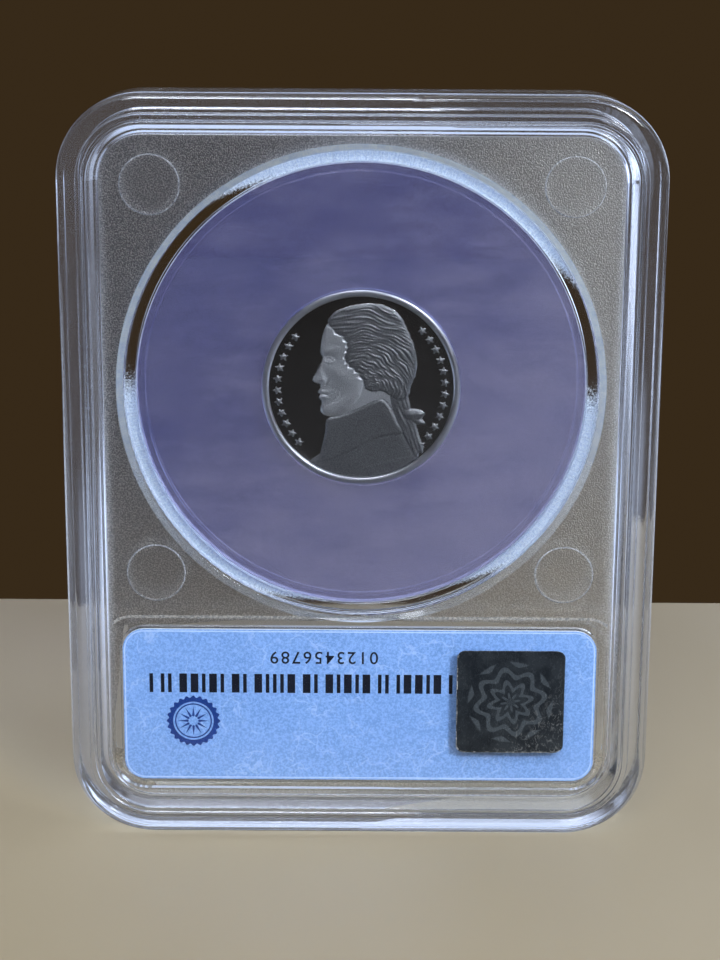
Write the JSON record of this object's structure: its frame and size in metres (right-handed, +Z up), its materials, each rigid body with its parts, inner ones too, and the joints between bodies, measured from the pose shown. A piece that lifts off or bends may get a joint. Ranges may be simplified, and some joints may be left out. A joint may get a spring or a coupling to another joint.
{
  "type": "graded coin slab",
  "caption": "Clear welded two-shell holder: a proof coin gripped in a tinted disc insert behind round windows, with a printed label card and a foil seal.",
  "frame": {"origin": "middle of the slab's bottom edge, at the foot of its bounding box", "axes": "+X to the right, +Z up along the slab's height, and the front face with the foil seal looks towards -Y"},
  "size_m": [0.0636, 0.008, 0.0816],
  "materials": {
    "clear_plastic": "clear, polished, with fine stippled fields",
    "insert_plastic": "translucent blue-violet, smooth",
    "coin_metal": "mirror fields and frosted relief",
    "label_paper": "mottled light blue, printed",
    "sticker_foil": "dark worn foil"
  },
  "bodies": {
    "root": {"front_shell": "clear_plastic", "back_shell": "clear_plastic", "coin_insert": "insert_plastic", "coin": "coin_metal", "label_card": "label_paper", "hologram_sticker": "sticker_foil"}
  },
  "joints": []
}
